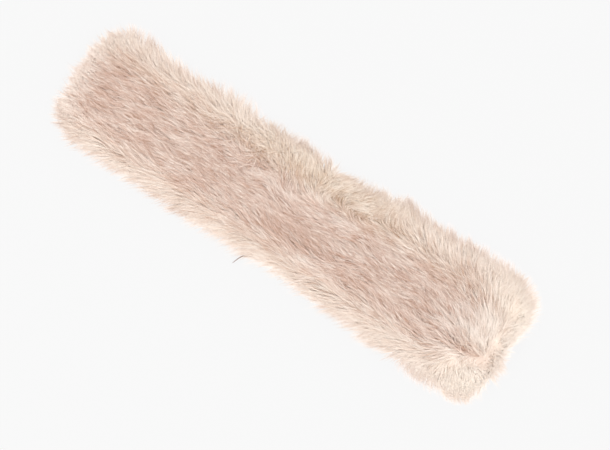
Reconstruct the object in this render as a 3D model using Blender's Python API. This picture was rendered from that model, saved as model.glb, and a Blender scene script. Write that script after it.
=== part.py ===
"""Fur collar wrap laid flat, fur side up.

Two dressed pelts are cut as strips and sewn edge to edge near the middle. Each pelt is a
leather wall, and each carries its own pile, which stands over the leather and hangs past
its cut edge down to the surface. The wrap lies along X. The origin is on the surface,
under the middle of the whole. Sizes are in millimetres and are scaled to metres by MM.
"""
import math

import bmesh
import bpy

MM = 0.001

# Driving sizes
LENGTH = 630.0
SKIN = 1.5  # wall of the leather
GAP = 0.3  # between pieces that meet
OVERHANG = 14.0  # how far the pile hangs past the leather at the two ends
SEAM_X = -28.0  # where the two pelts are sewn together
PILE_CORNER = 55.0  # radius of the pile's corners, seen from above
LEATHER_CORNER = 38.0  # radius of the leather's cut corners
RIDGE_INSET = 78.0  # from each end to where the ridge of the pile starts

# Shape of the pile across its width: 2 is an ellipse, more is squarer
SIDE_POWER = 3.4
TOP_POWER = 2.2

# How finely the surfaces are divided
EDGE_STEPS = 30
CORNER_STEPS = 7
END_STEPS = 4
DOME_RINGS = 8

# One row for each section across the wrap, from the left end to the right end.
# x: place along the wrap; far, near: reach of the pile on each side of the X axis;
# cut: half the width of the leather; crown: height of the pile's ridge above the surface.
SECTIONS = [
    {"x": -315.0, "far": 80.0, "near": 75.0, "cut": 62.0, "crown": 19.0},
    {"x": -260.0, "far": 80.0, "near": 75.0, "cut": 62.0, "crown": 20.5},
    {"x": -190.0, "far": 76.0, "near": 77.0, "cut": 62.0, "crown": 21.5},
    {"x": -125.0, "far": 82.0, "near": 77.0, "cut": 62.0, "crown": 21.5},
    {"x": -98.0, "far": 73.0, "near": 77.0, "cut": 61.5, "crown": 21.0},
    {"x": -60.0, "far": 76.0, "near": 79.0, "cut": 61.0, "crown": 20.0},
    {"x": SEAM_X, "far": 75.0, "near": 80.0, "cut": 61.0, "crown": 19.5},
    {"x": 15.0, "far": 73.5, "near": 76.5, "cut": 61.0, "crown": 20.5},
    {"x": 70.0, "far": 76.0, "near": 79.0, "cut": 63.0, "crown": 21.5},
    {"x": 112.0, "far": 84.0, "near": 81.0, "cut": 66.0, "crown": 22.0},
    {"x": 150.0, "far": 81.5, "near": 84.0, "cut": 68.0, "crown": 22.0},
    {"x": 222.0, "far": 84.0, "near": 84.0, "cut": 69.0, "crown": 21.5},
    {"x": 315.0, "far": 83.0, "near": 83.0, "cut": 69.0, "crown": 19.0},
]

FUR_COLOUR = (0.78, 0.60, 0.52, 1.0)
LEATHER_COLOUR = (0.83, 0.74, 0.62, 1.0)


def section_size(x, column):
    """One column of SECTIONS at x, eased between the two rows on either side of it."""
    for before, after in zip(SECTIONS, SECTIONS[1:]):
        if x <= after["x"]:
            break
    share = (x - before["x"]) / (after["x"] - before["x"])
    share = min(max(share, 0.0), 1.0)
    eased = share * share * (3.0 - 2.0 * share)
    return before[column] + (after[column] - before[column]) * eased


def corner_arc(centre, radius, start_degrees):
    """Points of a quarter circle, clockwise from start_degrees, without its last point."""
    points = []
    for step in range(CORNER_STEPS):
        angle = math.radians(start_degrees - 90.0 * step / CORNER_STEPS)
        points.append((centre[0] + radius * math.cos(angle), centre[1] + radius * math.sin(angle)))
    return points


def straight_run(start, end, steps):
    """Points from start towards end, without its last point."""
    return [
        (start[0] + (end[0] - start[0]) * step / steps, start[1] + (end[1] - start[1]) * step / steps)
        for step in range(steps)
    ]


def outline(far_column, near_column, end, radius, grow=0.0):
    """An outline from above, clockwise, with round corners, moved out by grow."""
    end += grow
    radius += grow
    middle = end - radius
    xs = [-middle + 2 * middle * step / EDGE_STEPS for step in range(EDGE_STEPS + 1)]
    far = [(x, section_size(x, far_column) + grow) for x in xs]
    near = [(x, -section_size(x, near_column) - grow) for x in reversed(xs)]
    points = far[:-1]
    points += corner_arc((middle, far[-1][1] - radius), radius, 90.0)
    points += straight_run((end, far[-1][1] - radius), (end, near[0][1] + radius), END_STEPS)
    points += corner_arc((middle, near[0][1] + radius), radius, 0.0)
    points += near[:-1]
    points += corner_arc((-middle, near[-1][1] + radius), radius, -90.0)
    points += straight_run((-end, near[-1][1] + radius), (-end, far[0][1] - radius), END_STEPS)
    points += corner_arc((-middle, far[0][1] - radius), radius, 180.0)
    return points


def pile_outline():
    """How far the hair reaches all round."""
    return outline("far", "near", LENGTH / 2, PILE_CORNER)


def leather_outline(grow=0.0):
    """The leather's cut edge."""
    return outline("cut", "cut", LENGTH / 2 - OVERHANG, LEATHER_CORNER, grow)


def ridge_point(x):
    """The nearest point of the pile's ridge to a place x along the wrap."""
    reach = LENGTH / 2 - RIDGE_INSET
    x = min(max(x, -reach), reach)
    return x, (section_size(x, "far") - section_size(x, "near")) / 2


def new_object(name, mesh, collection):
    made = bpy.data.objects.new(name, mesh)
    collection.objects.link(made)
    return made


def mesh_from_bmesh(name, shape):
    bmesh.ops.recalc_face_normals(shape, faces=shape.faces)
    mesh = bpy.data.meshes.new(name)
    shape.to_mesh(mesh)
    shape.free()
    return mesh


def slab_mesh(name, points, low, high):
    """An outline as a flat slab between two heights."""
    shape = bmesh.new()
    rim = [shape.verts.new((x * MM, y * MM, low * MM)) for x, y in points]
    floor = shape.faces.new(rim)
    raised = bmesh.ops.extrude_face_region(shape, geom=[floor])
    lifted = [item for item in raised["geom"] if isinstance(item, bmesh.types.BMVert)]
    bmesh.ops.translate(shape, verts=lifted, vec=(0.0, 0.0, (high - low) * MM))
    return mesh_from_bmesh(name, shape)


def pile_mesh(name):
    """The whole pile: rings that climb from the outline to the ridge, and a flat underside."""
    shape = bmesh.new()
    rings = []
    for ring in range(DOME_RINGS + 1):
        angle = math.pi / 2 * ring / (DOME_RINGS + 1)
        out = math.cos(angle) ** (2.0 / SIDE_POWER)
        up = math.sin(angle) ** (2.0 / TOP_POWER)
        verts = []
        for x, y in pile_outline():
            ridge_x, ridge_y = ridge_point(x)
            place_x = ridge_x + (x - ridge_x) * out
            place_y = ridge_y + (y - ridge_y) * out
            height = section_size(ridge_x, "crown") * up
            verts.append(shape.verts.new((place_x * MM, place_y * MM, height * MM)))
        rings.append(verts)
    for lower, upper in zip(rings, rings[1:]):
        for index in range(len(lower)):
            following = (index + 1) % len(lower)
            shape.faces.new((lower[index], lower[following], upper[following], upper[index]))
    shape.faces.new(rings[0])
    crown = []
    for vert in rings[-1]:
        ridge_x, ridge_y = ridge_point(vert.co.x / MM)
        height = section_size(ridge_x, "crown")
        crown.append(shape.verts.new((ridge_x * MM, ridge_y * MM, height * MM)))
    for index in range(len(crown)):
        following = (index + 1) % len(crown)
        shape.faces.new((rings[-1][index], rings[-1][following], crown[following], crown[index]))
    bmesh.ops.remove_doubles(shape, verts=shape.verts, dist=0.05 * MM)
    return mesh_from_bmesh(name, shape)


def box_cutter(name, low_x, high_x, collection):
    """A box that holds the part of the wrap from low_x to high_x."""
    side = 400.0
    bpy.ops.mesh.primitive_cube_add(size=1.0)
    box = bpy.context.active_object
    box.name = name
    box.location = ((low_x + high_x) / 2 * MM, 0.0, 0.0)
    box.scale = ((high_x - low_x) * MM, side * MM, side * MM)
    for owner in box.users_collection:
        owner.objects.unlink(box)
    collection.objects.link(box)
    return box


def keep_hidden(cutter):
    cutter.hide_render = True
    cutter.display_type = "WIRE"


def boolean(target, operation, cutter):
    modifier = target.modifiers.new(name=operation.title(), type="BOOLEAN")
    modifier.operation = operation
    modifier.solver = "EXACT"
    modifier.object = cutter


def surface(name, colour, roughness, sheen):
    material = bpy.data.materials.new(name)
    material.use_nodes = True
    shader = material.node_tree.nodes["Principled BSDF"]
    shader.inputs["Base Color"].default_value = colour
    shader.inputs["Roughness"].default_value = roughness
    shader.inputs["Metallic"].default_value = 0.0
    shader.inputs["Sheen Weight"].default_value = sheen
    return material


def clear_scene():
    for item in list(bpy.data.objects):
        bpy.data.objects.remove(item, do_unlink=True)


def build():
    clear_scene()
    scene_root = bpy.context.scene.collection
    wrap = bpy.data.collections.new("fur_collar_wrap")
    cutters = bpy.data.collections.new("cutters")
    scene_root.children.link(wrap)
    scene_root.children.link(cutters)

    whole_pelt = slab_mesh("whole_pelt", leather_outline(), 0.0, SKIN)
    whole_pile = pile_mesh("whole_pile")

    # The hollow under the pile that the leather lies in. It starts below the surface, so
    # that it cuts the pile's underside cleanly.
    hollow_mesh = slab_mesh("leather_hollow", leather_outline(GAP), -2.0, SKIN + GAP)
    hollow = new_object("leather_hollow", hollow_mesh, cutters)
    keep_hidden(hollow)

    past_end = LENGTH / 2 + 10.0
    halves = {
        "left": box_cutter("left_half", -past_end, SEAM_X - GAP / 2, cutters),
        "right": box_cutter("right_half", SEAM_X + GAP / 2, past_end, cutters),
    }
    for side, half in halves.items():
        keep_hidden(half)
        pelt = new_object("pelt_" + side, whole_pelt.copy(), wrap)
        boolean(pelt, "INTERSECT", half)
        pelt.data.materials.append(surface("leather_" + side, LEATHER_COLOUR, 0.75, 0.1))
        pile = new_object("fur_" + side, whole_pile.copy(), wrap)
        boolean(pile, "INTERSECT", half)
        boolean(pile, "DIFFERENCE", hollow)
        pile.data.materials.append(surface("fur_" + side, FUR_COLOUR, 0.9, 0.5))
        pile.data.shade_smooth()
        pile.data.set_sharp_from_angle(angle=math.radians(40.0))
    bpy.data.meshes.remove(whole_pelt)
    bpy.data.meshes.remove(whole_pile)


build()
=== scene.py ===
"""Looks of the fur collar wrap, which lies flat with its fur up.

The leather strips, their seam and the pile are built here in place of the plain solids.
Hair grows as locks: each lock has a guide that follows the nap, and its hairs close in
on that guide towards their tips. Lengths are in millimetres until a mesh is made.
"""
import math

import bpy
import numpy as np
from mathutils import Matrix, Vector
from mathutils.bvhtree import BVHTree


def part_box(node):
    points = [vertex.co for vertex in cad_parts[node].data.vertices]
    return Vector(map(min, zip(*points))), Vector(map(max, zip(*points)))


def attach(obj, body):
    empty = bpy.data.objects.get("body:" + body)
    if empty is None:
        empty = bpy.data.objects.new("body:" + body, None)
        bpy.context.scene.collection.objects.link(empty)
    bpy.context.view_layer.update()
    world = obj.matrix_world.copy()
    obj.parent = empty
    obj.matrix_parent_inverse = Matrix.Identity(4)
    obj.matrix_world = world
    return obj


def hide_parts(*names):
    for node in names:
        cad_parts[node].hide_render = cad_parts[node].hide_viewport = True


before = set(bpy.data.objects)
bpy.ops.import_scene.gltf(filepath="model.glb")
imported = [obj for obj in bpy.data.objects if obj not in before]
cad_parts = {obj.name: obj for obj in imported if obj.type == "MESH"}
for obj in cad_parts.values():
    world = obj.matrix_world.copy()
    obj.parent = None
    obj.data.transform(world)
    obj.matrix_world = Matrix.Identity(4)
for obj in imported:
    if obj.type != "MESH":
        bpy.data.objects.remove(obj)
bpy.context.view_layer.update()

MM = 0.001
SIDES = ("left", "right")


def table(columns, *rows):
    """Rows of values under named columns."""
    return [dict(zip(columns.split(), row)) for row in rows]


# ---- sizes from the frame

ON_SURFACE = 0.05  # a point this low lies on the surface
LEAST_HANG = 5.0  # the pile hangs at least this far past the leather


def node_points(name):
    """A CAD node's points, in millimetres."""
    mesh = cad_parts[name].data
    places = np.empty(len(mesh.vertices) * 3)
    mesh.vertices.foreach_get("co", places)
    return places.reshape(-1, 3) / MM


def outline_of(points):
    """The points that lie on the surface, in order round the wrap."""
    flat = np.unique(np.round(points[points[:, 2] < ON_SURFACE][:, :2], 2), axis=0)
    return flat[np.argsort(np.arctan2(flat[:, 1], flat[:, 0]))]


def edge_distance(ring, x, y):
    """How far each place is inside a closed ring, and the way out of it, as (depth, out_x, out_y)."""
    start, end = ring, np.roll(ring, -1, axis=0)
    run = end - start
    place = np.stack([x, y], -1)[..., None, :]
    share = ((place - start) * run).sum(-1) / np.maximum((run * run).sum(-1), 1e-9)
    nearest = start + np.clip(share, 0, 1)[..., None] * run
    away = nearest - place
    distance = np.sqrt((away * away).sum(-1))
    closest = distance.argmin(-1)[..., None]
    depth = np.take_along_axis(distance, closest, -1)[..., 0]
    away = np.take_along_axis(away, closest[..., None], -2)[..., 0, :]
    run = run[closest[..., 0]]
    inside = run[..., 0] * away[..., 1] - run[..., 1] * away[..., 0] < 0
    out = np.stack([run[..., 1], -run[..., 0]], -1)
    out /= np.maximum(np.linalg.norm(out, axis=-1, keepdims=True), 1e-9)
    return np.where(inside, depth, -depth), out[..., 0], out[..., 1]


leather_ring = outline_of(np.vstack([node_points("pelt_" + side) for side in SIDES]))
pile_points = outline_of(np.vstack([node_points("fur_" + side) for side in SIDES]))
hang = edge_distance(leather_ring, pile_points[:, 0], pile_points[:, 1])[0]
pile_ring = pile_points[hang < -LEAST_HANG]  # leaves out the hollow for the leather

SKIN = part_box("pelt_left")[1].z / MM
SEAM_X = (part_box("pelt_left")[1].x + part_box("pelt_right")[0].x) / 2 / MM
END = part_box("fur_right")[1].x / MM

# The nap and the pile are read from a grid that covers the wrap.
FIELD_STEP = 2.0
FIELD_MARGIN = 30.0
FIELD_HALF_WIDTH = 119.0
RAY_START = 100.0  # well above the pile
field_x = np.arange(-END - FIELD_MARGIN, END + FIELD_MARGIN, FIELD_STEP)
field_y = np.arange(-FIELD_HALF_WIDTH, FIELD_HALF_WIDTH + FIELD_STEP, FIELD_STEP)


def read_field(values, x, y):
    """A grid's value at each place, from the four grid points round it."""
    column = np.clip((x - field_x[0]) / FIELD_STEP, 0, len(field_x) - 1.001)
    row = np.clip((y - field_y[0]) / FIELD_STEP, 0, len(field_y) - 1.001)
    i, j = column.astype(int), row.astype(int)
    right, up = column - i, row - j
    low = values[i, j] * (1 - right) + values[i + 1, j] * right
    high = values[i, j + 1] * (1 - right) + values[i + 1, j + 1] * right
    return low * (1 - up) + high * up


def blurred(values, spread, axis):
    """The grid softened along one axis, over spread steps."""
    half = int(math.ceil(3.0 * spread))
    weights = np.exp(-0.5 * (np.arange(-half, half + 1) / spread) ** 2)
    weights /= weights.sum()
    padding = [(half, half) if each == axis else (0, 0) for each in (0, 1)]
    padded = np.pad(values, padding, mode="wrap")
    total = np.zeros_like(values)
    for shift, weight in enumerate(weights):
        total += weight * np.take(padded, range(shift, shift + values.shape[axis]), axis=axis)
    return total


def clouds(seed, length, width):
    """Soft random values over the grid, about 1 high, with patches of the given size."""
    values = np.random.default_rng(seed).normal(size=(len(field_x), len(field_y)))
    values = blurred(values, length / FIELD_STEP / 2.0, 0)
    values = blurred(values, width / FIELD_STEP / 2.0, 1)
    return values / values.std()


def pile_heights():
    """The height of the pile's top over each grid point, and 0 past its reach."""
    places, faces = [], []
    for side in SIDES:
        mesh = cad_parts["fur_" + side].data
        first = len(places)
        places += [vert.co.copy() for vert in mesh.vertices]
        faces += [[first + index for index in face.vertices] for face in mesh.polygons]
    tree = BVHTree.FromPolygons(places, faces)
    down = Vector((0.0, 0.0, -1.0))
    heights = np.zeros((len(field_x), len(field_y)))
    for i, x in enumerate(field_x):
        for j, y in enumerate(field_y):
            hit = tree.ray_cast(Vector((x * MM, y * MM, RAY_START * MM)), down)[0]
            heights[i, j] = hit.z / MM if hit else 0.0
    return heights


grid = np.meshgrid(field_x, field_y, indexing="ij")
leather_depth, leather_out_x, leather_out_y = edge_distance(leather_ring, *grid)
pile_depth, pile_out_x, pile_out_y = edge_distance(pile_ring, *grid)
pile_height = pile_heights()
slope_x, slope_y = np.gradient(pile_height, FIELD_STEP)

# ---- the nap


def ease(low, high, value):
    """0 below low, 1 above high, and a soft step between."""
    share = np.clip((value - low) / (high - low), 0.0, 1.0)
    return share * share * (3.0 - 2.0 * share)


def unit(vectors):
    """The directions of some vectors."""
    return vectors / np.maximum(np.linalg.norm(vectors, axis=-1, keepdims=True), 1e-9)


def turned(way, degrees):
    """Directions on the leather, turned to the left."""
    angle = np.radians(degrees)
    x = way[..., 0] * np.cos(angle) - way[..., 1] * np.sin(angle)
    y = way[..., 0] * np.sin(angle) + way[..., 1] * np.cos(angle)
    return np.stack([x, y], -1)


def spot(place, x, y, edge=1.0):
    """How much of an oval spot, from the tables below, is at each place: edge makes it sharper."""
    across = (x - place["x"]) / place["rx"]
    up = (y - place["y"]) / place["ry"]
    return np.exp(-((across * across + up * up) ** edge))


# The hair lies towards -X, except past a parting near the right end. The parting runs
# across the wrap down to the crown, and from there slants back to the near edge.
CROWN_Y = -27.0
PARTING_X = 288.0
PARTING_SLANT = 1.45  # how far it slants along the wrap for each step towards the near edge
PARTING_WIDTH = 11.0  # about this far from it, the hair lies along the wrap
PARTING_SPREAD = {"far": 72.0, "near": 24.0}  # how far from it hair still lies partly across
CROWN_PUSH = {"far": 0.95, "near": 1.2}  # how strongly hair lies across, away from the crown
CROWN_SPREAD = 8.0  # this near the crown, it does so half as strongly

# How strongly the hair leans out over the far edge and over the near one, along the wrap
LEANS = table(
    "x far near",
    (-260, 0.85, 0.85),
    (-200, 0.85, 0.80),
    (-120, 1.05, 0.75),
    (-40, 1.05, 0.75),
    (60, 1.20, 0.75),
    (140, 1.50, 0.80),
    (230, 1.70, 0.90),
)
END_LEAN = 1.2
# From where in from the leather's edge the lean starts, to where it is full
LEAN_START = {"left": 13.0, "right": 29.0, "near": 12.0, "end": 22.0}
LEAN_FULL = -3.0
LEAN_CHANGE = (SEAM_X - 30.0, SEAM_X + 90.0)  # from the left pelt's start to the right one's

# Places where the nap turns: where, how wide, the way the tips point, how firmly
SWIRLS = table(
    "x y rx ry heading pull",
    (-268, 76, 15, 15, 120, 0.9),
    (-115, 26, 13, 9, 206, 0.7),
    (-98, 44, 24, 13, 151, 0.85),
    (-74, 30, 12, 12, 205, 0.7),
    (-58, 50, 15, 16, 128, 0.7),
    (-40, 76, 8, 16, 84, 0.95),
    (-22, 38, 21, 25, 110, 0.95),
    (-20, 5, 22, 14, 148, 0.85),
    (-18, -24, 28, 20, 159, 0.85),
    (16, 29, 15, 9, 120, 0.85),
    (20, 48, 18, 16, 60, 0.95),
    (30, 69, 20, 11, 34, 0.95),
    (62, 55, 28, 23, 34, 0.95),
    (102, 69, 14, 14, 62, 0.9),
    (104, 54, 14, 9, 116, 0.85),
    (160, -38, 36, 13, 155, 0.75),
    (263, 26, 17, 32, 118, 0.7),
    (262, 62, 18, 16, 84, 0.85),
    (304, 26, 20, 38, 56, 0.8),
    (238, -62, 18, 22, 238, 0.7),
    (272, -60, 22, 24, 306, 0.9),
    (300, -62, 18, 20, 290, 0.85),
    (300, -38, 14, 13, 316, 0.75),
    (303, -14, 12, 14, 342, 0.7),
    (273, -3, 15, 18, 122, 0.7),
)
SWIRL_EDGE = 1.7  # how sharply a swirl ends

# Places where the hair is tousled, and by how many times more than elsewhere
TOUSLES = table(
    "x y rx ry more",
    (-78, 44, 42, 26, 3.2),
    (-30, 66, 30, 20, 1.5),
    (74, 48, 22, 14, 1.5),
    (210, 40, 40, 16, 0.5),
    (284, -24, 26, 20, 1.8),
)
LOCK_TURN = 8.0  # degrees that locks lie apart by
LOCK_BEND = 12.0  # degrees that a lock bends by
BEND_MIDDLE = 0.3  # the place along a lock where its bend changes side

WAVE = 7.0  # degrees that the nap wanders by
LAID_FLAT = 0.5  # a nap this strong lies flat
WHORL_TURN = 75.0  # the hair turns round the crown by this much
WHORL_EDGE = 0.72  # and far less where the nap is stronger than this
WHORL_POWER = 4  # how sharply that ends
UPRIGHT_REACH = 0.7  # of a hair's usual reach, where it stands up most
nap_waves = clouds(1, 14.0, 9.0)


def crown_way(x, y):
    """The way the hair lies as the crown and the parting turn it."""
    parting = PARTING_X + np.minimum(y - CROWN_Y, 0.0) * PARTING_SLANT
    past = x - parting
    from_crown = y - CROWN_Y
    way_x = np.tanh(past / PARTING_WIDTH)
    push = np.where(from_crown > 0.0, CROWN_PUSH["far"], CROWN_PUSH["near"])
    spread = np.where(from_crown > 0.0, PARTING_SPREAD["far"], PARTING_SPREAD["near"])
    way_y = push * from_crown / (np.abs(from_crown) + CROWN_SPREAD)
    way_y = way_y * np.exp(-((past / spread) ** 2))
    return np.stack([way_x, way_y], -1)


def edge_way(x, y):
    """How far the hair leans out over the edges, and which way."""
    out_x, out_y = read_field(leather_out_x, x, y), read_field(leather_out_y, x, y)
    rows_x = [row["x"] for row in LEANS]
    far, near = (np.interp(x, rows_x, [row[edge] for row in LEANS]) for edge in ("far", "near"))
    side_lean = np.where(out_y > 0.0, far, near)
    lean = END_LEAN + (side_lean - END_LEAN) * np.abs(out_y)
    right = ease(*LEAN_CHANGE, x)
    far_start = LEAN_START["left"] + (LEAN_START["right"] - LEAN_START["left"]) * right
    side_start = np.where(out_y > 0.0, far_start, LEAN_START["near"])
    lean_start = LEAN_START["end"] + (side_start - LEAN_START["end"]) * np.abs(out_y)
    depth = read_field(leather_depth, x, y)
    lean = lean * (1.0 - ease(0.0, 1.0, (depth - LEAN_FULL) / (lean_start - LEAN_FULL)))
    return np.stack([lean * out_x, lean * out_y], -1)


def nap(x, y):
    """The way the hair lies at each place, and how flat: near the parting it stands up."""
    way = crown_way(x, y) + edge_way(x, y)
    strength = np.linalg.norm(way, axis=-1)
    way = turned(way, WHORL_TURN * np.exp(-((strength / WHORL_EDGE) ** WHORL_POWER)))
    way /= np.maximum(strength, LAID_FLAT)[..., None]
    for swirl in SWIRLS:
        angle = math.radians(swirl["heading"])
        share = (swirl["pull"] * spot(swirl, x, y, SWIRL_EDGE))[..., None]
        way = way * (1.0 - share) + share * np.array([math.cos(angle), math.sin(angle)])
    flatness = np.clip(np.linalg.norm(way, axis=-1), UPRIGHT_REACH, 1.0)
    return turned(unit(way), WAVE * read_field(nap_waves, x, y)), flatness


def tousled(x, y):
    """How many times more than usual the locks differ from their neighbours."""
    times = np.ones_like(x)
    for place in TOUSLES:
        times = times + place["more"] * spot(place, x, y)
    return times


# ---- the colours

# tone runs from 0, cream, to 1, taupe. Spots darker or paler than the hair round them, one of them a
# painted shadow, marked below:
TONE_SPOTS = table(
    "x y rx ry tone",
    (-222, 28, 34, 10, 0.12),
    (-264, -26, 18, 9, 0.26),
    (-150, -12, 30, 12, 0.10),
    (-103, 46, 12, 8, 0.16),
    (-78, 30, 18, 12, 0.20),
    (-92, -4, 20, 12, 0.16),
    (-252, 0, 24, 26, 0.14),
    (20, -20, 34, 13, 0.20),
    (-6, -25, 17, 14, 0.50),
    (34, -10, 30, 12, 0.26),
    (102, -30, 30, 14, 0.24),
    (72, 42, 10, 4, 0.40),
    (83, 51, 5, 6, 0.30),
    (-272, -4, 28, 34, 0.18),
    (-60, 0, 62, 15, 0.12),
    (-205, -24, 44, 12, 0.24),
    (-27, 45, 38, 12, 0.36),
    (32, 47, 28, 12, 0.08),
    (-196, 48, 60, 8, 0.14),
    (-272, -24, 26, 16, 0.12),
    (-150, -52, 110, 8, 0.15),
    (0, 32, 330, 24, -0.13),
    (96, 34, 26, 7, 0.22),
    (178, 32, 15, 7, 0.26),
    (204, 43, 12, 7, 0.16),
    (229, 50, 9, 7, 0.18),
    (240, 30, 8, 12, 0.28),
    (158, -27, 32, 12, 0.20),
    (-80, -32, 280, 15, 0.08),
    (236, -27, 20, 6, 0.34),
    # painted shadow: this spot darkens the hair where the locks part beside the crown
    (264, -26, 9, 6, 0.3),
    (272, 9, 22, 18, 0.10),
    (229, -58, 8, 4, 0.40),
    (90, 62, 28, 9, 0.16),
    (92, 20, 32, 14, 0.10),
    (-90, -16, 32, 12, 0.12),
    (30, -18, 30, 9, 0.12),
    (212, -6, 30, 14, -0.08),
    (-90, 32, 24, 10, -0.12),
    (-115, 28, 12, 7, -0.25),
    (-44, -24, 15, 20, -0.16),
    (-46, 19, 20, 9, -0.30),
    (10, 30, 20, 12, -0.20),
    (66, 47, 10, 5, -0.30),
    (36, -40, 16, 9, -0.20),
)
EDGE_TONE = 0.24
MIDDLE_TONE = 0.74
CREAM_BAND = (6.0, 52.0)  # from the pile's reach in to where the taupe is full
CREAM_END = (195.0, 285.0)  # where the taupe gives way to cream at the right end
END_CREAM = 0.9  # how much of it gives way there
TONE_CLOUD = 0.145
EDGE_CLOUD = 0.4  # the share of the clouds' change that is left at the edge
tone_clouds = 0.75 * clouds(2, 16.0, 5.0) + 0.65 * clouds(3, 34.0, 15.0)


def tone_at(x, y):
    """How taupe the hair is at each place, from 0 to 1."""
    inward = ease(*CREAM_BAND, read_field(pile_depth, x, y))
    tone = EDGE_TONE + (MIDDLE_TONE - EDGE_TONE) * inward
    tone = tone * (1.0 - END_CREAM * ease(*CREAM_END, x))
    cloud = EDGE_CLOUD + (1.0 - EDGE_CLOUD) * inward
    tone = tone + TONE_CLOUD * read_field(tone_clouds, x, y) * cloud
    for place in TONE_SPOTS:
        tone = tone + place["tone"] * spot(place, x, y)
    return tone


# Gold along the far edge, where it is most, along the near edge and at the right end
GOLD = {"far": 0.35, "near": 0.35, "right": 0.3}
GOLD_BAND = {"far": (16.0, 52.0), "near": (30.0, 62.0), "right": (220.0, 290.0)}
GOLD_X = 5.0  # the far edge is fully golden here
GOLD_SPREAD = 120.0
RIM_GOLD = 0.3  # the share of the gold that is left at the rim
RIM_GOLD_BAND = (-4.0, 18.0)  # from the pile's reach in


def gold_at(x, y):
    """How golden the hair is: most along the far edge round the seam, least in the middle."""
    peak = np.exp(-(((x - GOLD_X) / GOLD_SPREAD) ** 2))
    far = ease(*GOLD_BAND["far"], y) * (GOLD["far"] + (1.0 - GOLD["far"]) * peak)
    near = GOLD["near"] * ease(*GOLD_BAND["near"], -y)
    right = GOLD["right"] * ease(*GOLD_BAND["right"], x)
    rim = RIM_GOLD + (1.0 - RIM_GOLD) * ease(*RIM_GOLD_BAND, read_field(pile_depth, x, y))
    return np.clip((far + near + right) * rim, 0.0, 1.0)


# ---- the hair

FRINGE_THICKNESS = 3.4  # of the loose hair past the leather
ROOT_SINK = 0.3  # roots start this far inside the leather
ROOT_PLACE = 0.14  # of a hair's root among its colours; less than this is the rim's grey
TONE_COLUMNS = 16  # the colour chart has a column for each tone, for each gold
GOLD_COLUMNS = 4
CHART_SHIFT = 0.35  # of a column, from its middle to each side of a hair
CHART_MARGIN = 0.02  # the hairs keep this far from the chart's two ends

# Each coat of hair. spacing: between locks; hairs: in each lock; spread: of their roots, as a
# share of the spacing; reach: over the leather; rank: how high in the pile; close: how far a
# lock closes in; steps: places along a hair; rise: its height at each; width: at the root;
# taper: the share of that width at each place but the tip; wander: of a hair's tip from its
# lock; tone: how much more taupe; vary: how much locks and hairs differ in tone; pale: how
# soon locks turn pale along their hairs; limit: the furthest that tips pass the pile's
# outline, how much locks vary in that, and how far short of it the hairs fall.
COATS = {
    "wool": {
        "spacing": 2.6, "hairs": 3, "spread": 0.40, "reach": (9.0, 14.0), "rank": (0.55, 0.82),
        "close": 0.2, "steps": (0.0, 0.5, 1.0), "rise": (0.0, 0.8, 1.0),
        "width": (0.5, 0.8), "taper": (1.0, 0.8), "wander": 1.4, "tone": 0.08,
        "vary": (0.16, 0.1), "pale": (0.5, 0.8), "limit": (0.0, 2.5, 6.0),
    },
    "guard": {
        "spacing": 2.2, "hairs": 4, "spread": 0.34, "reach": (18.0, 27.0), "rank": (0.66, 0.94),
        "close": 0.5, "steps": (0.0, 0.3, 0.65, 1.0), "rise": (0.0, 0.66, 0.94, 1.0),
        "width": (0.34, 0.52), "taper": (1.0, 0.95, 0.7), "wander": 0.8, "tone": 0.0,
        "vary": (0.37, 0.19), "pale": (0.74, 1.12), "limit": (5.5, 3.2, 7.0),
    },
    "top": {
        "spacing": 1.85, "hairs": 3, "spread": 0.22, "reach": (20.0, 31.0), "rank": (0.84, 1.03),
        "close": 0.5, "steps": (0.0, 0.3, 0.65, 1.0), "rise": (0.0, 0.62, 0.93, 1.02),
        "width": (0.30, 0.46), "taper": (1.0, 0.95, 0.65), "wander": 0.45, "tone": -0.03,
        "vary": (0.46, 0.15), "pale": (0.68, 1.22), "limit": (7.0, 3.6, 7.0),
    },
    "fringe": {
        "spacing": 2.5, "hairs": 9, "spread": 0.40, "reach": (23.0, 33.0), "rank": (0.3, 1.0),
        "close": 0.8, "steps": (0.0, 0.25, 0.5, 0.77, 1.0), "rise": (0.0, 0.55, 0.85, 0.98, 1.0),
        "width": (0.22, 0.36), "taper": (1.0, 0.9, 0.75, 0.5), "wander": 1.2, "tone": 0.03,
        "vary": (0.25, 0.13), "pale": (0.8, 1.1), "limit": (10.0, 3.6, 7.5),
    },
}
FRINGE_BAND = 11.0  # the fringe grows this far in from the leather's edge
# Painted shade: tips at the pile's rim get darker colours than the hair within, so the loose fringe,
# lit from all round, looks no brighter than the pile.
SHADED_RIM_BAND = (-11.0, 8.0)  # painted shade: where tips go from darkened to pale, from the pile's reach in
SHADED_RIM_SHARE = 0.05  # painted shade: the most darkened tips are only this share of the way to their pale colour
SHADED_END_SHARE = 0.15  # and this much further at the two ends
SHADED_CROWN_SHARE = 0.95  # painted shade: hair that stands up, at the crown and along the parting, gets only this share as pale
GREY_BAND = (-6.5, 3.0)  # where tips go from the rim's grey to their own colour, likewise
CREAM_VARY = 0.12  # cream hair varies by this share of what taupe hair does
EDGE_DEPTH = 0.6  # no root is nearer the leather's edge than this
STRAY_SHARE = 0.07  # of the hairs wander further
STRAY_WANDER = 3.0  # by this many times
STRETCH = (0.72, 1.12)  # hairs differ from their lock's guide in length
CLOSE_POWER = 0.8  # a lock closes in early
WANDER_POWER = 1.5  # and its hairs part late
LOCK_RANK = 0.65  # how far a lock's hairs share its rank in the pile
LIFT_VARY = 0.04  # how much hairs of one rank differ in height, as a share
GOLD_VARY = (0.12, 0.08)  # of locks, and of the hairs in them
MOST_ROLL = 38.0  # degrees that a flat hair is rolled by, either way
HAIR_SEED = 7

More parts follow.
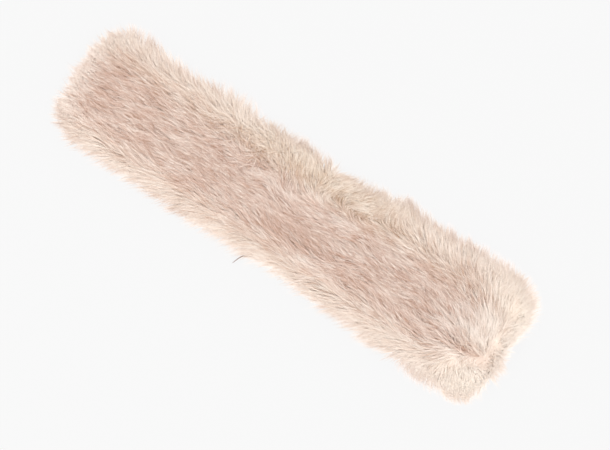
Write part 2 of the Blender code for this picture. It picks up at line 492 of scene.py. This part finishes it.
# Where tufts at the edge reach further than the pile's outline, or not so far
EDGE_TUFTS = table(
    "x y rx ry reach",
    (-272, 84, 22, 20, 6),
    (-182, 82, 16, 16, -3),
    (-126, 82, 16, 16, 4),
    (-100, 80, 9, 16, -4),
    (-41, 84, 7, 16, 11),
    (-4, 82, 12, 16, 4),
    (190, 90, 60, 14, -3),
    (122, 86, 12, 16, 4),
    (246, 86, 14, 16, 2.5),
    (292, 84, 18, 20, 12),
    (308, -54, 16, 16, -12),
    (316, 0, 14, 30, -8),
    (-318, 30, 18, 34, -8),
    (-318, -20, 18, 30, -7),
    (-250, -84, 14, 16, 2),
    (-140, -84, 14, 16, -2),
    (-30, -84, 22, 16, 2),
    (98, -86, 16, 16, -2),
    (192, -88, 22, 16, -5),
    (224, -88, 9, 14, 4),
    (264, -88, 18, 16, 4),
    (294, -82, 12, 14, 6),
)
TUFT_REACH = 2.4  # of the small tufts in between, either way
END_WISPS = 0.7  # the tips thin out over this much more of a distance at the two ends
MOST_PAST = 12.0  # no hair ends further out than this
DRAWS = 2  # a hair that starts far too long is shortened again
LEAST_LEFT = 0.25  # of a hair, each time it is shortened
LEAST_TRAVEL = 1.0  # of a hair towards the edge, so that nothing is divided by 0
LONGER = 0.06  # of a hair's length, for each millimetre of a tuft's reach
EDGE_LONGER = {"far": 0.30, "near": 0.50}  # the hair along the edges is this much longer
LONGER_BAND = (20.0, 60.0)  # from the wrap's middle line
ROOT_TO_TIP = 16.0  # a hair in a tuft has its root about this far in from its tip
CLUMPS = 0.045  # how much higher some clumps stand than others, as a share
tuft_clouds = clouds(4, 7.0, 7.0)
clump_clouds = clouds(5, 11.0, 6.0)


def tuft_reach(x, y):
    """How far the hair at the edge passes the pile's outline, in tufts."""
    reach = TUFT_REACH * read_field(tuft_clouds, x, y)
    for tuft in EDGE_TUFTS:
        reach = reach + tuft["reach"] * spot(tuft, x, y)
    return reach


def tuft_length(x, y):
    """How much longer than usual the hair is, where a tuft has to reach further."""
    longer = np.ones_like(x)
    for tuft in EDGE_TUFTS:
        tip_y = y + math.copysign(ROOT_TO_TIP, tuft["y"])
        longer = longer + LONGER * max(tuft["reach"], 0.0) * spot(tuft, x, tip_y)
    return longer


def lock_roots(rng, low_x, high_x, spacing, band):
    """Places for locks on the leather, spread evenly but not in rows."""
    columns = np.arange(low_x, high_x, spacing)
    rows = np.arange(-FIELD_HALF_WIDTH, FIELD_HALF_WIDTH, spacing)
    x, y = (values.ravel() for values in np.meshgrid(columns, rows, indexing="ij"))
    x = x + rng.uniform(-0.5, 0.5, x.shape) * spacing
    y = y + rng.uniform(-0.5, 0.5, y.shape) * spacing
    depth = read_field(leather_depth, x, y)
    keep = (depth > EDGE_DEPTH) & (depth < band) & (x > low_x) & (x < high_x)
    return x[keep], y[keep]


def lock_guides(rng, x, y, reach, steps):
    """Each lock's line over the leather: it follows the nap, with a turn of its own."""
    turn = rng.normal(0.0, LOCK_TURN, x.shape) * tousled(x, y)
    bend = rng.normal(0.0, LOCK_BEND, x.shape) * tousled(x, y)
    line = [np.stack([x, y], -1)]
    reach = reach * nap(x, y)[1]
    for before, after in zip(steps, steps[1:]):
        here = line[-1]
        way = turned(nap(here[:, 0], here[:, 1])[0], turn + bend * (after - BEND_MIDDLE))
        line.append(here + way * (reach * (after - before))[:, None])
    return np.stack(line, 1)


def draw_in(line, limit):
    """Shortens the hairs whose tips would pass the pile's reach by more than limit."""
    tip = line[:, -1]
    limit = np.minimum(limit + tuft_reach(tip[:, 0], tip[:, 1]), MOST_PAST)
    for _ in range(DRAWS):
        tip = line[:, -1]
        past = -read_field(pile_depth, tip[:, 0], tip[:, 1]) - limit
        out = np.stack([read_field(pile_out_x, *tip.T), read_field(pile_out_y, *tip.T)], -1)
        travel = ((tip - line[:, 0]) * out).sum(-1)
        keep = 1.0 - np.clip(past, 0.0, None) / np.maximum(travel, LEAST_TRAVEL)
        keep = np.clip(keep, LEAST_LEFT, 1.0)[:, None, None]
        line = line[:, :1] + (line - line[:, :1]) * keep
    return line


def lay_locks(rng, coat, low_x, high_x):
    """The locks of one coat between two places along the wrap, with what their hairs share."""
    band = FRINGE_BAND if coat is COATS["fringe"] else np.inf
    x, y = lock_roots(rng, low_x, high_x, coat["spacing"], band)
    reach = rng.uniform(*coat["reach"], x.shape) * tuft_length(x, y)
    longer = np.where(y > 0.0, EDGE_LONGER["far"], EDGE_LONGER["near"])
    reach = reach * (1.0 + longer * ease(*LONGER_BAND, np.abs(y)))
    return {
        "x": x,
        "y": y,
        "flat": (nap(x, y)[1] - UPRIGHT_REACH) / (1.0 - UPRIGHT_REACH),
        "guide": lock_guides(rng, x, y, reach, np.array(coat["steps"])),
        "rank": rng.uniform(0.0, 1.0, x.shape),
        "tone": rng.normal(0.0, coat["vary"][0], x.shape),
        "pale": rng.uniform(*coat["pale"], x.shape),
        "gold": rng.normal(0.0, GOLD_VARY[0], x.shape),
    }


def hair_lines(rng, coat, locks, lock):
    """Each hair's line as seen from above: it starts beside its lock's guide and closes in."""
    hairs = len(lock)
    steps = np.array(coat["steps"])
    guide = locks["guide"][lock]
    root = rng.normal(0.0, coat["spread"] * coat["spacing"], (hairs, 1, 2))
    stretch = rng.uniform(*STRETCH, (hairs, 1, 1))
    close = (1.0 - coat["close"] * steps ** CLOSE_POWER)[None, :, None]
    wander = rng.normal(0.0, coat["wander"], (hairs, 1, 2)) * (steps ** WANDER_POWER)[None, :, None]
    line = guide[:, :1] + (guide - guide[:, :1]) * stretch
    stray = np.where(rng.uniform(size=(hairs, 1, 1)) < STRAY_SHARE, STRAY_WANDER, 1.0)
    line = line + root * close + wander * stray
    end, lock_spread, fall = coat["limit"]
    lock_end = rng.normal(end, lock_spread, len(locks["x"]))
    fall = fall * (1.0 + END_WISPS * np.abs(read_field(pile_out_x, *line[:, -1].T)))
    return draw_in(line, lock_end[lock] - rng.exponential(fall))


def raise_hairs(rng, coat, locks, lock, line):
    """The hairs' points in the pile, each hair at its own rank between the leather and the top."""
    low_rank, high_rank = coat["rank"]
    own = rng.uniform(0.0, 1.0, len(lock))
    share = np.clip(LOCK_RANK * locks["rank"][lock] + (1.0 - LOCK_RANK) * own, 0.0, 1.0)
    rank = (low_rank + (high_rank - low_rank) * share)[:, None]
    top = np.maximum(read_field(pile_height, line[..., 0], line[..., 1]), FRINGE_THICKNESS)
    x, y = locks["x"], locks["y"]
    clump = 1.0 + CLUMPS * (read_field(clump_clouds, x, y) * tousled(x, y))[lock]
    lift = np.array(coat["rise"]) * (rng.normal(1.0, LIFT_VARY, len(lock)) * clump)[:, None]
    height = SKIN - ROOT_SINK + (top - SKIN + ROOT_SINK) * rank * lift
    return np.concatenate([line, height[..., None]], -1)


def hair_shades(rng, coat, locks, lock, line):
    """Each hair's tone and gold, and where each of its points is on the way to its pale tip."""
    steps = np.array(coat["steps"])
    middle = line[:, len(steps) // 2]
    tone = tone_at(middle[:, 0], middle[:, 1]) + coat["tone"]
    vary = CREAM_VARY + (1.0 - CREAM_VARY) * np.clip(tone / MIDDLE_TONE, 0.0, 1.0)
    tone = tone + vary * (locks["tone"][lock] + rng.normal(0.0, coat["vary"][1], len(lock)))
    gold = gold_at(middle[:, 0], middle[:, 1]) + locks["gold"][lock]
    gold = gold + rng.normal(0.0, GOLD_VARY[1], len(lock))
    tip_x, tip_y = line[:, -1].T
    tip_depth = read_field(pile_depth, tip_x, tip_y)
    # painted shade: near the rim, and a little less at the two ends, tips stay short of their pale
    # colour
    shaded_tip_share = SHADED_RIM_SHARE + SHADED_END_SHARE * np.abs(read_field(pile_out_x, tip_x, tip_y))
    pale = shaded_tip_share + (1.0 - shaded_tip_share) * ease(*SHADED_RIM_BAND, tip_depth)
    # painted shade: hair that stands up at the crown and the parting turns less pale
    pale = pale * (SHADED_CROWN_SHARE + (1.0 - SHADED_CROWN_SHARE) * locks["flat"][lock]) * locks["pale"][lock]
    grey = ROOT_PLACE * (1.0 - ease(*GREY_BAND, tip_depth))
    along = ROOT_PLACE + ((1.0 - ROOT_PLACE) * pale - grey)[:, None] * steps
    return [np.clip(values, 0.0, 1.0) for values in (tone, gold, along)]


def comb_hair(rng, coat, low_x, high_x):
    """One coat of hair between two places along the wrap: its points, widths and colours."""
    locks = lay_locks(rng, coat, low_x, high_x)
    lock = np.repeat(np.arange(len(locks["x"])), coat["hairs"])
    line = hair_lines(rng, coat, locks, lock)
    points = raise_hairs(rng, coat, locks, lock, line)
    shades = hair_shades(rng, coat, locks, lock, line)
    width = rng.uniform(*coat["width"], len(lock))[:, None] * np.array(coat["taper"])
    roll = rng.uniform(-MOST_ROLL, MOST_ROLL, len(lock))
    return points, width, roll, *shades


MOST_LEAN = 0.7  # of a hair's face, as a slope
PILE_FACING = 0.75  # how far a hair is lit as the pile's surface is, and not as its own face
ROUND_SIDES = 0.2  # how far its two sides are lit as if it were round


def hair_strips(points, width, roll):
    """The corners of flat hairs that taper to a point, and the way each corner faces."""
    hairs = len(points)
    along = np.empty_like(points)
    along[:, 1:-1] = points[:, 2:] - points[:, :-2]
    along[:, 0] = points[:, 1] - points[:, 0]
    along[:, -1] = points[:, -1] - points[:, -2]
    along = unit(along)
    lean_x, lean_y = (
        np.clip(-read_field(slope, points[..., 0], points[..., 1]), -MOST_LEAN, MOST_LEAN)
        for slope in (slope_x, slope_y)
    )
    outward = unit(np.stack([lean_x, lean_y, np.ones_like(lean_x)], -1))
    across = unit(np.cross(along, outward))
    face = np.cross(across, along)
    angle = np.radians(roll)[:, None, None]
    wide = across * np.cos(angle) + face * np.sin(angle)
    facing = PILE_FACING * outward
    facing = facing + (1.0 - PILE_FACING) * (face * np.cos(angle) - across * np.sin(angle))

    half = wide[:, :-1] * (width[..., None] / 2.0)
    pairs = np.stack([points[:, :-1] - half, points[:, :-1] + half], 2)
    corners = np.concatenate([pairs.reshape(hairs, -1, 3), points[:, -1:]], 1)
    rounding = ROUND_SIDES * wide[:, :-1]
    sides = np.stack([facing[:, :-1] - rounding, facing[:, :-1] + rounding], 2)
    return corners, unit(np.concatenate([sides.reshape(hairs, -1, 3), facing[:, -1:]], 1))


def strip_faces(hairs, places):
    """The faces of the strips: each face's corners, one after another, and where each starts."""
    corners = 2 * places - 1
    loops = []
    for left in range(0, 2 * places - 4, 2):
        loops += [left, left + 1, left + 3, left + 2]
    loops += [corners - 3, corners - 2, corners - 1]
    sizes = np.array([4] * (places - 2) + [3])
    starts = np.concatenate([[0], np.cumsum(sizes)[:-1]])
    loop_verts = (np.arange(hairs) * corners)[:, None] + np.array(loops)
    loop_starts = (np.arange(hairs) * len(loops))[:, None] + starts
    return loop_verts.ravel(), loop_starts.ravel()


def store_shades(mesh, **shades):
    """Keeps values for each point of a mesh, for the hair's material to read."""
    for name, values in shades.items():
        layer = mesh.attributes.new(name, "FLOAT", "POINT")
        layer.data.foreach_set("value", values.astype(np.float32))


def chart_places(tone, gold, along):
    """Where each corner of each hair is on the colour chart."""
    column = np.minimum((tone * TONE_COLUMNS).astype(int), TONE_COLUMNS - 1)
    column += TONE_COLUMNS * np.minimum((gold * GOLD_COLUMNS).astype(int), GOLD_COLUMNS - 1)
    shift = np.append(np.tile([-CHART_SHIFT, CHART_SHIFT], along.shape[1] // 2), 0.0)
    chart_u = (column[:, None] + 0.5 + shift) / (TONE_COLUMNS * GOLD_COLUMNS)
    chart_v = CHART_MARGIN + (1.0 - 2.0 * CHART_MARGIN) * along
    return np.stack([chart_u.ravel(), chart_v.ravel()], -1)


def hair_mesh(name, points, width, roll, tone, gold, along):
    """All the hairs of a coat as one mesh, with their colour values."""
    hairs, places = points.shape[:2]
    corners, normals = hair_strips(points, width, roll)
    loop_verts, loop_starts = strip_faces(hairs, places)
    mesh = bpy.data.meshes.new(name)
    mesh.vertices.add(corners.shape[0] * corners.shape[1])
    mesh.vertices.foreach_set("co", (corners * MM).astype(np.float32).ravel())
    mesh.loops.add(len(loop_verts))
    mesh.loops.foreach_set("vertex_index", loop_verts.astype(np.int32))
    mesh.polygons.add(len(loop_starts))
    mesh.polygons.foreach_set("loop_start", loop_starts.astype(np.int32))
    mesh.update(calc_edges=True)
    mesh.polygons.foreach_set("use_smooth", np.ones(len(mesh.polygons), bool))

    along = np.concatenate([np.repeat(along[:, :-1], 2, axis=1), along[:, -1:]], 1)
    each = np.ones_like(along)
    shades = {"tone": tone[:, None] * each, "gold": gold[:, None] * each, "along": along}
    store_shades(mesh, **{shade: values.ravel() for shade, values in shades.items()})
    chart = chart_places(tone, gold, along)[loop_verts]
    layer = mesh.uv_layers.new(name="OFBake", do_init=False)
    layer.uv.foreach_set("vector", chart.astype(np.float32).ravel())
    mesh.normals_split_custom_set_from_vertices(normals.reshape(-1, 3).tolist())
    return mesh


def put_in_scene(name, data):
    """A new object in the scene, which holds a mesh, a lamp or the camera."""
    made = bpy.data.objects.new(name, data)
    bpy.context.scene.collection.objects.link(made)
    return made


def show(name, mesh, material, node=None):
    """Puts a finished mesh in the scene as a piece, which may stand for a CAD node."""
    piece = put_in_scene(name, mesh)
    mesh.materials.append(material)
    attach(piece, "root")
    if node:
        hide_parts(node)
    return piece


# ---- the materials

SOFT_SHINE = 0.25  # the specular level of every material here


def new_material(name, colour, roughness, sheen=0.0):
    """A material with its Principled BSDF, whose plain values are set on the shader."""
    material = bpy.data.materials.new(name)
    material.use_nodes = True
    shader = material.node_tree.nodes["Principled BSDF"]
    shader.inputs["Base Color"].default_value = (*colour, 1.0)
    shader.inputs["Roughness"].default_value = roughness
    shader.inputs["Sheen Weight"].default_value = sheen
    shader.inputs["Specular IOR Level"].default_value = SOFT_SHINE
    return material, material.node_tree, shader


def new_group(name, inputs, outputs):
    """A shader node group with named sockets."""
    group = bpy.data.node_groups.new(name, "ShaderNodeTree")
    for direction, sockets in (("INPUT", inputs), ("OUTPUT", outputs)):
        for socket, kind in sockets.items():
            group.interface.new_socket(socket, in_out=direction, socket_type="NodeSocket" + kind)
    return group, group.nodes.new("NodeGroupInput"), group.nodes.new("NodeGroupOutput")


def ramp(nodes, stops):
    """A colour ramp with the given (place, colour) stops."""
    made = nodes.new("ShaderNodeValToRGB")
    made.color_ramp.interpolation = "EASE"
    elements = made.color_ramp.elements
    while len(elements) < len(stops):
        elements.new(0.5)
    for element, (place, colour) in zip(elements, stops):
        element.position = place
        element.color = (*colour, 1.0)
    return made


# The sockets of a Mix node that mixes colours
MIX_SHARE, MIX_LOW, MIX_HIGH, MIX_RESULT = 0, 6, 7, 2


def blended(nodes, links, share, low, high):
    """A colour mixed from low to high by share."""
    mix = nodes.new("ShaderNodeMix")
    mix.data_type = "RGBA"
    links.new(share, mix.inputs[MIX_SHARE])
    links.new(low, mix.inputs[MIX_LOW])
    links.new(high, mix.inputs[MIX_HIGH])
    return mix.outputs[MIX_RESULT]


def texture(tree, kind, scale):
    """A pattern that is fixed to its piece."""
    coordinates = tree.nodes.new("ShaderNodeTexCoord")
    made = tree.nodes.new("ShaderNodeTex" + kind)
    made.inputs["Scale"].default_value = scale
    tree.links.new(coordinates.outputs["Object"], made.inputs["Vector"])
    return made


def tint(tree, shader, pattern, stops):
    """Colours a material by a pattern."""
    colours = ramp(tree.nodes, stops)
    tree.links.new(pattern.outputs["Fac"], colours.inputs[0])
    tree.links.new(colours.outputs[0], shader.inputs["Base Color"])


def roughen(tree, shader, pattern, strength, height):
    """Gives a material the relief of a pattern, with its height in metres."""
    bump = tree.nodes.new("ShaderNodeBump")
    bump.inputs["Strength"].default_value = strength
    bump.inputs["Distance"].default_value = height
    tree.links.new(pattern.outputs["Fac"], bump.inputs["Height"])
    tree.links.new(bump.outputs["Normal"], shader.inputs["Normal"])


# A hair's colours by the place along it: the grey of the rim, then from its root to its tip
HAIR_STOPS = (0.0, ROOT_PLACE, 0.43, 0.71, 0.96)
HAIR_COLOURS = {
    "cream": [
        (0.76, 0.70, 0.69), (0.81, 0.70, 0.625), (0.835, 0.735, 0.66), (0.855, 0.76, 0.685),
        (0.865, 0.775, 0.71),
    ],
    "taupe": [
        (0.60, 0.50, 0.47), (0.34, 0.185, 0.13), (0.44, 0.25, 0.18), (0.57, 0.37, 0.285),
        (0.805, 0.655, 0.57),
    ],
    "gold_cream": [
        (0.75, 0.69, 0.65), (0.75, 0.64, 0.535), (0.80, 0.695, 0.59), (0.845, 0.755, 0.655),
        (0.87, 0.79, 0.71),
    ],
    "gold_taupe": [
        (0.60, 0.50, 0.42), (0.34, 0.20, 0.11), (0.44, 0.28, 0.17), (0.58, 0.40, 0.27),
        (0.80, 0.67, 0.54),
    ],
}


def hair_colour_group():
    """Colour from a hair's tone, its gold and the place along it."""
    group, given, result = new_group(
        "hair_colour", {"Tone": "Float", "Gold": "Float", "Along": "Float"}, {"Color": "Color"}
    )
    nodes, links = group.nodes, group.links
    pairs = []
    for family in (("cream", "taupe"), ("gold_cream", "gold_taupe")):
        ramps = []
        for shade in family:
            made = ramp(nodes, list(zip(HAIR_STOPS, HAIR_COLOURS[shade])))
            links.new(given.outputs["Along"], made.inputs[0])
            ramps.append(made.outputs[0])
        pairs.append(blended(nodes, links, given.outputs["Tone"], *ramps))
    links.new(blended(nodes, links, given.outputs["Gold"], *pairs), result.inputs["Color"])
    return group


def hair_material():
    """Dull hair with a little sheen, whose colour each hair brings with it."""
    material, tree, shader = new_material("pile_hair", (0.8, 0.66, 0.58), 0.66, sheen=0.15)
    colour = tree.nodes.new("ShaderNodeGroup")
    colour.node_tree = hair_colour_group()
    for attribute, socket in (("tone", "Tone"), ("gold", "Gold"), ("along", "Along")):
        reader = tree.nodes.new("ShaderNodeAttribute")
        reader.attribute_name = attribute
        tree.links.new(reader.outputs["Fac"], colour.inputs[socket])
    tree.links.new(colour.outputs["Color"], shader.inputs["Base Color"])
    return material


# ---- underfur and leather

RING_POINTS = 220  # round each pelt
SHELL_RINGS = 16  # from the leather's edge in to the middle
SHELL_SHARE = 0.58  # of the pile's height
SHELL_EDGE = 0.8  # the underfur starts this far in from the leather's edge
SHELL_GAP = 0.05  # and its underside is this far over the leather
SHELL_LEAST = 0.3  # its top is at least this far over it
SHELL_CROWD = 1.6  # the rings crowd towards the edge by this power
SHELL_RIM = 0.4  # the outermost ring's height, as a share of what the pile gives it
WOOL_ROUGH = 0.10  # how much the wool's top goes up and down, as a share
WOOL_ROUGH_RISE = 8.0  # it is smooth at the rim and fully rough 1/8 of the way in
UNDERFUR_ALONG = 0.18  # the underfur has a hair's colour at this place along it, the dark root colour: partly the wool's own colour, partly painted shade for the depth of the pile
LEATHER_ROUND = 0.35  # how much the leather's cut edge is rounded, as seen from above
LEATHER_BEVEL = 0.21  # and as seen from the side


def resampled(ring, count):
    """Points at even steps round a closed outline."""
    closed = np.vstack([ring, ring[:1]])
    steps = np.hypot(*np.diff(closed, axis=0).T)
    run = np.concatenate([[0.0], np.cumsum(steps)])
    even = np.linspace(0.0, run[-1], count, endpoint=False)
    return np.stack([np.interp(even, run, closed[:, k]) for k in (0, 1)], -1)


def drawn_in(ring, inset):
    """The outline moved in by inset."""
    ahead, behind = np.roll(ring, -1, 0), np.roll(ring, 1, 0)
    way = unit(ahead - behind)
    return ring + inset * np.stack([-way[:, 1], way[:, 0]], -1)


def middle_of(ring):
    """For each point of the outline, the place on the pelt's middle line that it runs to."""
    half = (ring[:, 1].max() - ring[:, 1].min()) / 2.0
    low, high = ring[:, 0].min() + half, ring[:, 0].max() - half
    centre = (ring[:, 1].max() + ring[:, 1].min()) / 2.0
    return np.stack([np.clip(ring[:, 0], low, high), np.full(len(ring), centre)], -1)


def mesh_of(name, points, faces):
    """A smooth mesh of the points, which are in millimetres."""
    mesh = bpy.data.meshes.new(name)
    mesh.from_pydata((np.asarray(points) * MM).tolist(), [], faces)
    mesh.validate()
    mesh.shade_smooth()
    return mesh


def band_faces(rings, count):
    """Faces between rings of points that follow one another."""
    faces = []
    for ring in range(rings - 1):
        for each in range(count):
            after = (each + 1) % count
            low, high = ring * count, (ring + 1) * count
            faces.append((low + each, low + after, high + after, high + each))
    return faces


def underfur_mesh(side):
    """The thick wool under the guard hair, as one closed form that stands on the leather."""
    ring = drawn_in(resampled(outline_of(node_points("pelt_" + side)), RING_POINTS), SHELL_EDGE)
    middle = middle_of(ring)
    layers = [np.column_stack([ring, np.full(RING_POINTS, SKIN + SHELL_GAP)])]
    for share in np.linspace(0.0, 1.0, SHELL_RINGS) ** SHELL_CROWD:
        flat = ring + (middle - ring) * share
        top = read_field(pile_height, flat[:, 0], flat[:, 1])
        rough = WOOL_ROUGH * read_field(nap_waves, flat[:, 0], flat[:, 1])
        rise = SHELL_SHARE * (1.0 + rough * min(1.0, WOOL_ROUGH_RISE * share))
        if share == 0.0:
            rise = rise * SHELL_RIM
        height = SKIN + (top - SKIN) * rise
        layers.append(np.column_stack([flat, np.maximum(height, SKIN + SHELL_LEAST)]))
    points = np.vstack(layers)
    faces = band_faces(len(layers), RING_POINTS)
    faces.append(tuple(range(RING_POINTS))[::-1])
    mesh = mesh_of("underfur_" + side, points, faces)
    # partly painted shade: the shell takes the hairs' dark root colour, also where it shows through
    # at the crown
    store_shades(
        mesh,
        tone=np.clip(tone_at(points[:, 0], points[:, 1]), 0.0, 1.0),
        gold=gold_at(points[:, 0], points[:, 1]),
        along=np.full(len(points), UNDERFUR_ALONG),
    )
    return mesh


def leather_mesh(side):
    """One pelt's leather: a flat sheet with a rounded cut edge."""
    ring = resampled(outline_of(node_points("pelt_" + side)), RING_POINTS)
    inner = drawn_in(ring, LEATHER_ROUND)
    low, high = LEATHER_BEVEL, SKIN - LEATHER_BEVEL
    layers = [(inner, 0.0), (ring, low), (ring, high), (inner, SKIN)]
    points = np.vstack([np.column_stack([flat, np.full(RING_POINTS, z)]) for flat, z in layers])
    faces = band_faces(len(layers), RING_POINTS)
    faces.append(tuple(range(RING_POINTS))[::-1])
    faces.append(tuple(range(3 * RING_POINTS, 4 * RING_POINTS)))
    return mesh_of("leather_" + side, points, faces)


# ---- the stitches

SEAM_ENDS = 12.0  # the outline's points this near the seam give its two ends
SEAM_INSET = 2.0  # the stitches start and end this far in
STITCH_STEP = 2.2
STITCH_REACH = 1.6  # each side of the seam
STITCH_VARY = (0.85, 1.1)
STITCH_SLANT = STITCH_STEP / 2.0
STITCH_BENDS = 3  # places along a stitch between two of its points
# One stitch, from one pelt to the other under the seam
STITCH = table(
    "across along height",
    (-1, 0, SKIN / 2.0),
    (-0.9, 0.1, -0.05),
    (0, 0.5, -0.16),
    (0.9, 0.9, -0.05),
    (1, 1, SKIN / 2.0),
)
STITCH_SEED = 21
THREAD = 0.36  # the thread's thickness
THREAD_SIDES = 8
TAIL_THREAD = 1.25  # the loose end's: it has several strands twisted together
TAIL_BENDS = 8
TAIL_TAPER = ((0.0, 1.0), (0.7, 0.85), (1.0, 0.45))  # its place along, its share of thickness
# The loose end's route from the last stitches, as (x, y, z)
TAIL = [(-27.6, -57.0, 0.9), (-19.0, -63.0, 1.0), (-13.5, -70.5, 2.2), (-17.8, -74.8, 4.6),
        (-22.3, -77.1, 4.4), (-24.9, -81.0, 2.6), (-26.8, -85.8, 1.2), (-28.5, -90.6, 0.7)]


def smooth_route(points, steps):
    """A smooth line through the points, with some steps from each to the next."""
    points = np.array(points)
    padded = np.vstack([2 * points[0] - points[1], points, 2 * points[-1] - points[-2]])
    line = []
    for before, start, end, after in zip(padded, padded[1:], padded[2:], padded[3:]):
        for share in np.linspace(0.0, 1.0, steps, endpoint=False):
            bend = (2 * before - 5 * start + 4 * end - after) * share
            twist = (3 * (start - end) + after - before) * share ** 2
            line.append(start + 0.5 * share * (end - before + bend + twist))
    return np.array(line + [points[-1]])


def tube(line, radii):
    """Points and faces of a round thread along a line, closed at both ends."""
    way = unit(np.gradient(line, axis=0))
    across = unit(np.cross(way, np.tile([0.0, 0.0, 1.0], (len(line), 1)) + 1e-3))
    up = np.cross(across, way)
    points = []
    for turn in np.linspace(0.0, 2 * math.pi, THREAD_SIDES, endpoint=False):
        points.append(line + radii[:, None] * (math.cos(turn) * across + math.sin(turn) * up))
    points = np.stack(points, 1).reshape(-1, 3)
    faces = band_faces(len(line), THREAD_SIDES)
    faces.append(tuple(range(THREAD_SIDES))[::-1])
    faces.append(tuple(range(len(points) - THREAD_SIDES, len(points))))
    return points, faces


def seam_mesh():
    """The overcast stitches that join the pelts, and the thread's loose end."""
    ends = [point[1] for point in leather_ring if abs(point[0] - SEAM_X) < SEAM_ENDS]
    threads = []
    rng = np.random.default_rng(STITCH_SEED)
    for place in np.arange(min(ends) + SEAM_INSET, max(ends) - SEAM_INSET, STITCH_STEP):
        reach = STITCH_REACH * rng.uniform(*STITCH_VARY)
        route = [
            (SEAM_X + reach * at["across"], place + STITCH_SLANT * at["along"], at["height"])
            for at in STITCH
        ]
        line = smooth_route(route, STITCH_BENDS)
        threads.append(tube(line, np.full(len(line), THREAD / 2.0)))
    line = smooth_route(TAIL, TAIL_BENDS)
    taper = np.interp(np.linspace(0.0, 1.0, len(line)), *zip(*TAIL_TAPER))
    threads.append(tube(line, taper * TAIL_THREAD / 2.0))
    points, faces = [], []
    for more_points, more_faces in threads:
        first = sum(len(each) for each in points)
        points.append(more_points)
        faces += [tuple(first + index for index in face) for face in more_faces]
    return mesh_of("seam_stitches", np.vstack(points), faces)


def suede_material():
    """The dressed flesh side of the pelts: softly mottled, with a fine nap."""
    material, tree, shader = new_material("tanned_leather", (0.80, 0.70, 0.60), 0.9, sheen=0.3)
    mottle = texture(tree, "Noise", scale=28.0)
    mottle.inputs["Detail"].default_value = 5.0
    tint(tree, shader, mottle, [(0.3, (0.72, 0.60, 0.49)), (0.7, (0.86, 0.78, 0.69))])
    roughen(tree, shader, texture(tree, "Noise", scale=900.0), strength=0.5, height=0.0003)
    return material


def thread_material():
    """Brown sewing thread with its twist."""
    material, tree, shader = new_material("brown_thread", (0.16, 0.08, 0.05), 0.7, sheen=0.2)
    twist = texture(tree, "Wave", scale=900.0)
    twist.bands_direction = "DIAGONAL"
    tint(tree, shader, twist, [(0.2, (0.11, 0.05, 0.03)), (0.8, (0.24, 0.12, 0.075))])
    roughen(tree, shader, twist, strength=0.4, height=0.0001)
    return material


# ---- putting it together


def grow_side(side, hair, leather):
    """One pelt: its leather, its underfur and all the coats of hair."""
    low_x, high_x = (-END, SEAM_X) if side == "left" else (SEAM_X, END)
    for order, (name, coat) in enumerate(COATS.items()):
        rng = np.random.default_rng(HAIR_SEED + 100 * SIDES.index(side) + order)
        mesh = hair_mesh(name + "_" + side, *comb_hair(rng, coat, low_x, high_x))
        show(name + "_hair_" + side, mesh, hair, "fur_" + side)
    show("underfur_" + side, underfur_mesh(side), hair, "fur_" + side)
    ring = outline_of(node_points("pelt_" + side))
    sheet = show("leather_" + side, leather_mesh(side), leather, "pelt_" + side)


# ---- floor, light and camera, in metres

FLOOR_HALF = 4.0
FLOOR_DROP = 0.0006  # under the leather, to leave room for the stitches
FLOOR_COLOUR = (0.06, 0.06, 0.06)
FLOOR_GLOW = 0.822  # makes the floor nearly white, with only a faint shadow
WHITE = (1.0, 1.0, 1.0, 1.0)
ROOM_LIGHT = 1.36
LAMPS = table(
    "name place size power",
    ("key_light", (-0.7, -1.1, 1.8), 1.6, 17.0),
    ("fill_light", (0.9, 0.9, 1.8), 1.6, 12.0),
)


def lay_floor():
    """The white surface that the wrap lies on."""
    mesh = bpy.data.meshes.new("floor")
    corners = [
        (x * FLOOR_HALF, y * FLOOR_HALF, -FLOOR_DROP)
        for x, y in ((-1, -1), (1, -1), (1, 1), (-1, 1))
    ]
    mesh.from_pydata(corners, [], [(0, 1, 2, 3)])
    floor = put_in_scene("floor", mesh)
    paint, _, shader = new_material("floor_paint", FLOOR_COLOUR, 0.9)
    shader.inputs["Emission Color"].default_value = WHITE
    shader.inputs["Emission Strength"].default_value = FLOOR_GLOW
    mesh.materials.append(paint)


def light_room():
    """An even white room with two large soft lamps."""
    world = bpy.data.worlds.new("studio")
    bpy.context.scene.world = world
    world.use_nodes = True
    background = world.node_tree.nodes["Background"]
    background.inputs["Color"].default_value = WHITE
    background.inputs["Strength"].default_value = ROOM_LIGHT
    for row in LAMPS:
        lamp = bpy.data.lights.new(row["name"], "AREA")
        lamp.size = row["size"]
        lamp.energy = row["power"]
        holder = put_in_scene(row["name"], lamp)
        holder.location = row["place"]
        holder.rotation_euler = (-Vector(row["place"])).to_track_quat("-Z", "Y").to_euler()
    bpy.context.scene.view_settings.view_transform = "Standard"


VIEW_TURN = 33.0  # the wrap lies this far off level in the view, its right end lower
VIEW_WIDTH = 0.732  # of the surface, across the view
VIEW_CENTRE = (0.0196, -0.0053)
LENS = 110.0  # millimetres, as lenses are given
SENSOR = 36.0


def set_camera():
    """The camera looks straight down."""
    camera = bpy.data.cameras.new("camera")
    camera.lens = LENS
    camera.sensor_width = SENSOR
    holder = put_in_scene("camera", camera)
    holder.location = (*VIEW_CENTRE, VIEW_WIDTH * LENS / SENSOR)
    holder.rotation_euler = (0.0, 0.0, math.radians(VIEW_TURN))
    bpy.context.scene.camera = holder


set_camera()
lay_floor()
hair = hair_material()
leather = suede_material()
for side in SIDES:
    grow_side(side, hair, leather)
show("seam_stitches", seam_mesh(), thread_material())
light_room()
